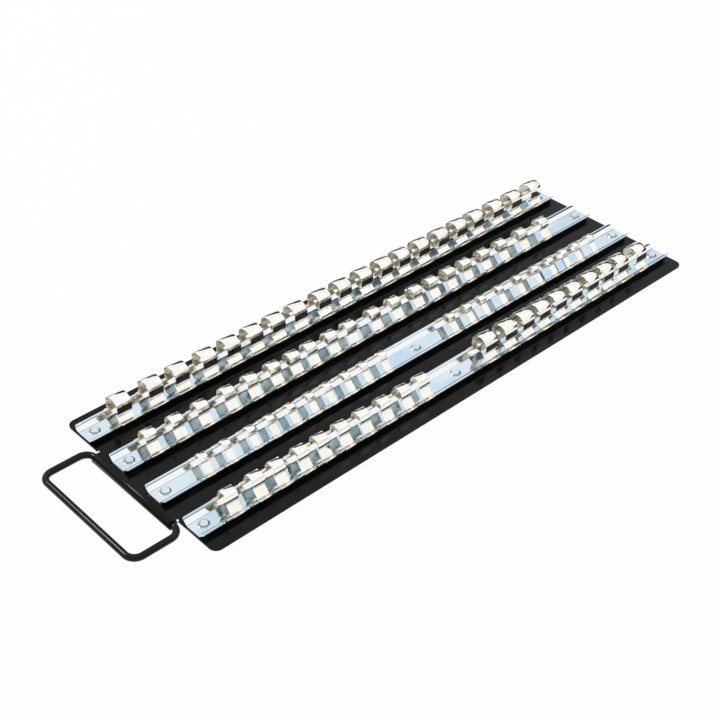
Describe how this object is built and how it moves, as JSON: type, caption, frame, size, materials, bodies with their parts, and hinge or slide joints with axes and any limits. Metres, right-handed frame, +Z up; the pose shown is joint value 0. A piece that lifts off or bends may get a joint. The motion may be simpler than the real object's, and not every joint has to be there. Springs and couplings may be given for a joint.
{
  "type": "socket tray",
  "caption": "Flat steel tray with riveted channel rails, sliding spring clips that hold sockets by their square drives, and a swinging wire bail handle.",
  "frame": {"origin": "centre of the tray's flat underside", "axes": "+X along the tray away from the handle, +Y from the front rail to the back rail, +Z up"},
  "size_m": [0.5198, 0.168, 0.0291],
  "materials": {
    "tray": "gloss black paint",
    "handle": "gloss black paint",
    "rail": "bright bluish zinc plate",
    "rivet": "bright bluish zinc plate",
    "clip_wide": "bright warm nickel plate",
    "clip_medium": "bright warm nickel plate",
    "clip_narrow": "bright warm nickel plate"
  },
  "bodies": {
    "tray": {"tray_panel": "tray", "rail_back": "rail", "rail_second": "rail", "rail_third": "rail", "rail_front": "rail", "rail_rivets": "rivet"},
    "bail_handle": {"bail_handle": "handle"},
    "half_inch_clip_01": {"half_inch_clip_01": "clip_wide"},
    "half_inch_clip_02": {"half_inch_clip_02": "clip_wide"},
    "half_inch_clip_03": {"half_inch_clip_03": "clip_wide"},
    "half_inch_clip_04": {"half_inch_clip_04": "clip_wide"},
    "half_inch_clip_05": {"half_inch_clip_05": "clip_wide"},
    "half_inch_clip_06": {"half_inch_clip_06": "clip_wide"},
    "half_inch_clip_07": {"half_inch_clip_07": "clip_wide"},
    "half_inch_clip_08": {"half_inch_clip_08": "clip_wide"},
    "half_inch_clip_09": {"half_inch_clip_09": "clip_wide"},
    "half_inch_clip_10": {"half_inch_clip_10": "clip_wide"},
    "half_inch_clip_11": {"half_inch_clip_11": "clip_wide"},
    "half_inch_clip_12": {"half_inch_clip_12": "clip_wide"},
    "half_inch_clip_13": {"half_inch_clip_13": "clip_wide"},
    "half_inch_clip_14": {"half_inch_clip_14": "clip_wide"},
    "half_inch_clip_15": {"half_inch_clip_15": "clip_wide"},
    "half_inch_clip_16": {"half_inch_clip_16": "clip_wide"},
    "half_inch_clip_17": {"half_inch_clip_17": "clip_wide"},
    "half_inch_clip_18": {"half_inch_clip_18": "clip_wide"},
    "half_inch_clip_19": {"half_inch_clip_19": "clip_wide"},
    "half_inch_clip_20": {"half_inch_clip_20": "clip_wide"},
    "three_eighths_clips_01_02": {"three_eighths_clips_01_02": "clip_medium"},
    "three_eighths_clips_03_04": {"three_eighths_clips_03_04": "clip_medium"},
    "three_eighths_clips_05_06": {"three_eighths_clips_05_06": "clip_medium"},
    "three_eighths_clips_07_08": {"three_eighths_clips_07_08": "clip_medium"},
    "three_eighths_clips_09_10": {"three_eighths_clips_09_10": "clip_medium"},
    "three_eighths_clips_11_12": {"three_eighths_clips_11_12": "clip_medium"},
    "three_eighths_clips_13_14": {"three_eighths_clips_13_14": "clip_medium"},
    "three_eighths_clips_15_16": {"three_eighths_clips_15_16": "clip_medium"},
    "three_eighths_clips_17_18": {"three_eighths_clips_17_18": "clip_medium"},
    "three_eighths_clips_19_20": {"three_eighths_clips_19_20": "clip_medium"},
    "quarter_inch_clips_left_01_02": {"quarter_inch_clips_left_01_02": "clip_narrow"},
    "quarter_inch_clips_left_03_04": {"quarter_inch_clips_left_03_04": "clip_narrow"},
    "quarter_inch_clips_left_05_06": {"quarter_inch_clips_left_05_06": "clip_narrow"},
    "quarter_inch_clips_left_07_08": {"quarter_inch_clips_left_07_08": "clip_narrow"},
    "quarter_inch_clips_left_09_10": {"quarter_inch_clips_left_09_10": "clip_narrow"},
    "quarter_inch_clips_right_01_02": {"quarter_inch_clips_right_01_02": "clip_narrow"},
    "quarter_inch_clips_right_03_04": {"quarter_inch_clips_right_03_04": "clip_narrow"},
    "quarter_inch_clips_right_05_06": {"quarter_inch_clips_right_05_06": "clip_narrow"},
    "quarter_inch_clips_right_07_08": {"quarter_inch_clips_right_07_08": "clip_narrow"},
    "quarter_inch_clips_right_09_10": {"quarter_inch_clips_right_09_10": "clip_narrow"},
    "three_eighths_clips_left_01_02": {"three_eighths_clips_left_01_02": "clip_medium"},
    "three_eighths_clips_left_03_04": {"three_eighths_clips_left_03_04": "clip_medium"},
    "three_eighths_clips_left_05_06": {"three_eighths_clips_left_05_06": "clip_medium"},
    "three_eighths_clips_left_07_08": {"three_eighths_clips_left_07_08": "clip_medium"},
    "three_eighths_clips_left_09_10": {"three_eighths_clips_left_09_10": "clip_medium"},
    "half_inch_clips_right_01_02": {"half_inch_clips_right_01_02": "clip_wide"},
    "half_inch_clips_right_03_04": {"half_inch_clips_right_03_04": "clip_wide"},
    "half_inch_clips_right_05_06": {"half_inch_clips_right_05_06": "clip_wide"},
    "half_inch_clips_right_07_08": {"half_inch_clips_right_07_08": "clip_wide"},
    "half_inch_clips_right_09_10": {"half_inch_clips_right_09_10": "clip_wide"}
  },
  "joints": [
    {"name": "handle_swing", "type": "hinge", "parent": "tray", "child": "bail_handle", "pos_m": [-0.2412, 0, -0.00255], "axis": [0, 1, 0], "range_deg": [-174, 90]},
    {"name": "half_inch_clip_01_slide", "type": "slide", "parent": "tray", "child": "half_inch_clip_01", "axis": [1, 0, 0], "range_m": [-0.01115, 0.00715]},
    {"name": "half_inch_clip_02_slide", "type": "slide", "parent": "tray", "child": "half_inch_clip_02", "axis": [1, 0, 0], "range_m": [-0.00715, 0.00515]},
    {"name": "half_inch_clip_03_slide", "type": "slide", "parent": "tray", "child": "half_inch_clip_03", "axis": [1, 0, 0], "range_m": [-0.00515, 0.00605]},
    {"name": "half_inch_clip_04_slide", "type": "slide", "parent": "tray", "child": "half_inch_clip_04", "axis": [1, 0, 0], "range_m": [-0.00605, 0.0047]},
    {"name": "half_inch_clip_05_slide", "type": "slide", "parent": "tray", "child": "half_inch_clip_05", "axis": [1, 0, 0], "range_m": [-0.0047, 0.0043]},
    {"name": "half_inch_clip_06_slide", "type": "slide", "parent": "tray", "child": "half_inch_clip_06", "axis": [1, 0, 0], "range_m": [-0.0043, 0.0044]},
    {"name": "half_inch_clip_07_slide", "type": "slide", "parent": "tray", "child": "half_inch_clip_07", "axis": [1, 0, 0], "range_m": [-0.0044, 0.00435]},
    {"name": "half_inch_clip_08_slide", "type": "slide", "parent": "tray", "child": "half_inch_clip_08", "axis": [1, 0, 0], "range_m": [-0.00435, 0.00595]},
    {"name": "half_inch_clip_09_slide", "type": "slide", "parent": "tray", "child": "half_inch_clip_09", "axis": [1, 0, 0], "range_m": [-0.00595, 0.00425]},
    {"name": "half_inch_clip_10_slide", "type": "slide", "parent": "tray", "child": "half_inch_clip_10", "axis": [1, 0, 0], "range_m": [-0.00425, 0.00495]},
    {"name": "half_inch_clip_11_slide", "type": "slide", "parent": "tray", "child": "half_inch_clip_11", "axis": [1, 0, 0], "range_m": [-0.00495, 0.0045]},
    {"name": "half_inch_clip_12_slide", "type": "slide", "parent": "tray", "child": "half_inch_clip_12", "axis": [1, 0, 0], "range_m": [-0.0045, 0.0035]},
    {"name": "half_inch_clip_13_slide", "type": "slide", "parent": "tray", "child": "half_inch_clip_13", "axis": [1, 0, 0], "range_m": [-0.0035, 0.00465]},
    {"name": "half_inch_clip_14_slide", "type": "slide", "parent": "tray", "child": "half_inch_clip_14", "axis": [1, 0, 0], "range_m": [-0.00465, 0.00475]},
    {"name": "half_inch_clip_15_slide", "type": "slide", "parent": "tray", "child": "half_inch_clip_15", "axis": [1, 0, 0], "range_m": [-0.00475, 0.0046]},
    {"name": "half_inch_clip_16_slide", "type": "slide", "parent": "tray", "child": "half_inch_clip_16", "axis": [1, 0, 0], "range_m": [-0.0046, 0.0036]},
    {"name": "half_inch_clip_17_slide", "type": "slide", "parent": "tray", "child": "half_inch_clip_17", "axis": [1, 0, 0], "range_m": [-0.0036, 0.0056]},
    {"name": "half_inch_clip_18_slide", "type": "slide", "parent": "tray", "child": "half_inch_clip_18", "axis": [1, 0, 0], "range_m": [-0.0056, 0.005]},
    {"name": "half_inch_clip_19_slide", "type": "slide", "parent": "tray", "child": "half_inch_clip_19", "axis": [1, 0, 0], "range_m": [-0.005, 0.0058]},
    {"name": "half_inch_clip_20_slide", "type": "slide", "parent": "tray", "child": "half_inch_clip_20", "axis": [1, 0, 0], "range_m": [-0.0058, 0.00175]},
    {"name": "three_eighths_clips_01_02_slide", "type": "slide", "parent": "tray", "child": "three_eighths_clips_01_02", "axis": [1, 0, 0], "range_m": [-0.00765, 0.0058]},
    {"name": "three_eighths_clips_03_04_slide", "type": "slide", "parent": "tray", "child": "three_eighths_clips_03_04", "axis": [1, 0, 0], "range_m": [-0.0058, 0.00535]},
    {"name": "three_eighths_clips_05_06_slide", "type": "slide", "parent": "tray", "child": "three_eighths_clips_05_06", "axis": [1, 0, 0], "range_m": [-0.00535, 0.0043]},
    {"name": "three_eighths_clips_07_08_slide", "type": "slide", "parent": "tray", "child": "three_eighths_clips_07_08", "axis": [1, 0, 0], "range_m": [-0.0043, 0.0051]},
    {"name": "three_eighths_clips_09_10_slide", "type": "slide", "parent": "tray", "child": "three_eighths_clips_09_10", "axis": [1, 0, 0], "range_m": [-0.0051, 0.00735]},
    {"name": "three_eighths_clips_11_12_slide", "type": "slide", "parent": "tray", "child": "three_eighths_clips_11_12", "axis": [1, 0, 0], "range_m": [-0.00735, 0.00645]},
    {"name": "three_eighths_clips_13_14_slide", "type": "slide", "parent": "tray", "child": "three_eighths_clips_13_14", "axis": [1, 0, 0], "range_m": [-0.00645, 0.00475]},
    {"name": "three_eighths_clips_15_16_slide", "type": "slide", "parent": "tray", "child": "three_eighths_clips_15_16", "axis": [1, 0, 0], "range_m": [-0.00475, 0.00565]},
    {"name": "three_eighths_clips_17_18_slide", "type": "slide", "parent": "tray", "child": "three_eighths_clips_17_18", "axis": [1, 0, 0], "range_m": [-0.00565, 0.00715]},
    {"name": "three_eighths_clips_19_20_slide", "type": "slide", "parent": "tray", "child": "three_eighths_clips_19_20", "axis": [1, 0, 0], "range_m": [-0.00715, 0.03655]},
    {"name": "quarter_inch_clips_left_01_02_slide", "type": "slide", "parent": "tray", "child": "quarter_inch_clips_left_01_02", "axis": [1, 0, 0], "range_m": [-0.02295, 0.00725]},
    {"name": "quarter_inch_clips_left_03_04_slide", "type": "slide", "parent": "tray", "child": "quarter_inch_clips_left_03_04", "axis": [1, 0, 0], "range_m": [-0.00725, 0.0059]},
    {"name": "quarter_inch_clips_left_05_06_slide", "type": "slide", "parent": "tray", "child": "quarter_inch_clips_left_05_06", "axis": [1, 0, 0], "range_m": [-0.0059, 0.00475]},
    {"name": "quarter_inch_clips_left_07_08_slide", "type": "slide", "parent": "tray", "child": "quarter_inch_clips_left_07_08", "axis": [1, 0, 0], "range_m": [-0.00475, 0.00515]},
    {"name": "quarter_inch_clips_left_09_10_slide", "type": "slide", "parent": "tray", "child": "quarter_inch_clips_left_09_10", "axis": [1, 0, 0], "range_m": [-0.00515, 0.02905]},
    {"name": "quarter_inch_clips_right_01_02_slide", "type": "slide", "parent": "tray", "child": "quarter_inch_clips_right_01_02", "axis": [1, 0, 0], "range_m": [-0.02705, 0.00475]},
    {"name": "quarter_inch_clips_right_03_04_slide", "type": "slide", "parent": "tray", "child": "quarter_inch_clips_right_03_04", "axis": [1, 0, 0], "range_m": [-0.00475, 0.0073]},
    {"name": "quarter_inch_clips_right_05_06_slide", "type": "slide", "parent": "tray", "child": "quarter_inch_clips_right_05_06", "axis": [1, 0, 0], "range_m": [-0.0073, 0.00565]},
    {"name": "quarter_inch_clips_right_07_08_slide", "type": "slide", "parent": "tray", "child": "quarter_inch_clips_right_07_08", "axis": [1, 0, 0], "range_m": [-0.00565, 0.004]},
    {"name": "quarter_inch_clips_right_09_10_slide", "type": "slide", "parent": "tray", "child": "quarter_inch_clips_right_09_10", "axis": [1, 0, 0], "range_m": [-0.004, 0.02545]},
    {"name": "three_eighths_clips_left_01_02_slide", "type": "slide", "parent": "tray", "child": "three_eighths_clips_left_01_02", "axis": [1, 0, 0], "range_m": [-0.01115, 0.00385]},
    {"name": "three_eighths_clips_left_03_04_slide", "type": "slide", "parent": "tray", "child": "three_eighths_clips_left_03_04", "axis": [1, 0, 0], "range_m": [-0.00385, 0.00395]},
    {"name": "three_eighths_clips_left_05_06_slide", "type": "slide", "parent": "tray", "child": "three_eighths_clips_left_05_06", "axis": [1, 0, 0], "range_m": [-0.00395, 0.00475]},
    {"name": "three_eighths_clips_left_07_08_slide", "type": "slide", "parent": "tray", "child": "three_eighths_clips_left_07_08", "axis": [1, 0, 0], "range_m": [-0.00475, 0.0048]},
    {"name": "three_eighths_clips_left_09_10_slide", "type": "slide", "parent": "tray", "child": "three_eighths_clips_left_09_10", "axis": [1, 0, 0], "range_m": [-0.0048, 0.02795]},
    {"name": "half_inch_clips_right_01_02_slide", "type": "slide", "parent": "tray", "child": "half_inch_clips_right_01_02", "axis": [1, 0, 0], "range_m": [-0.01945, 0.00345]},
    {"name": "half_inch_clips_right_03_04_slide", "type": "slide", "parent": "tray", "child": "half_inch_clips_right_03_04", "axis": [1, 0, 0], "range_m": [-0.00345, 0.00305]},
    {"name": "half_inch_clips_right_05_06_slide", "type": "slide", "parent": "tray", "child": "half_inch_clips_right_05_06", "axis": [1, 0, 0], "range_m": [-0.00305, 0.00365]},
    {"name": "half_inch_clips_right_07_08_slide", "type": "slide", "parent": "tray", "child": "half_inch_clips_right_07_08", "axis": [1, 0, 0], "range_m": [-0.00365, 0.00275]},
    {"name": "half_inch_clips_right_09_10_slide", "type": "slide", "parent": "tray", "child": "half_inch_clips_right_09_10", "axis": [1, 0, 0], "range_m": [-0.00275, 0.01425]}
  ]
}
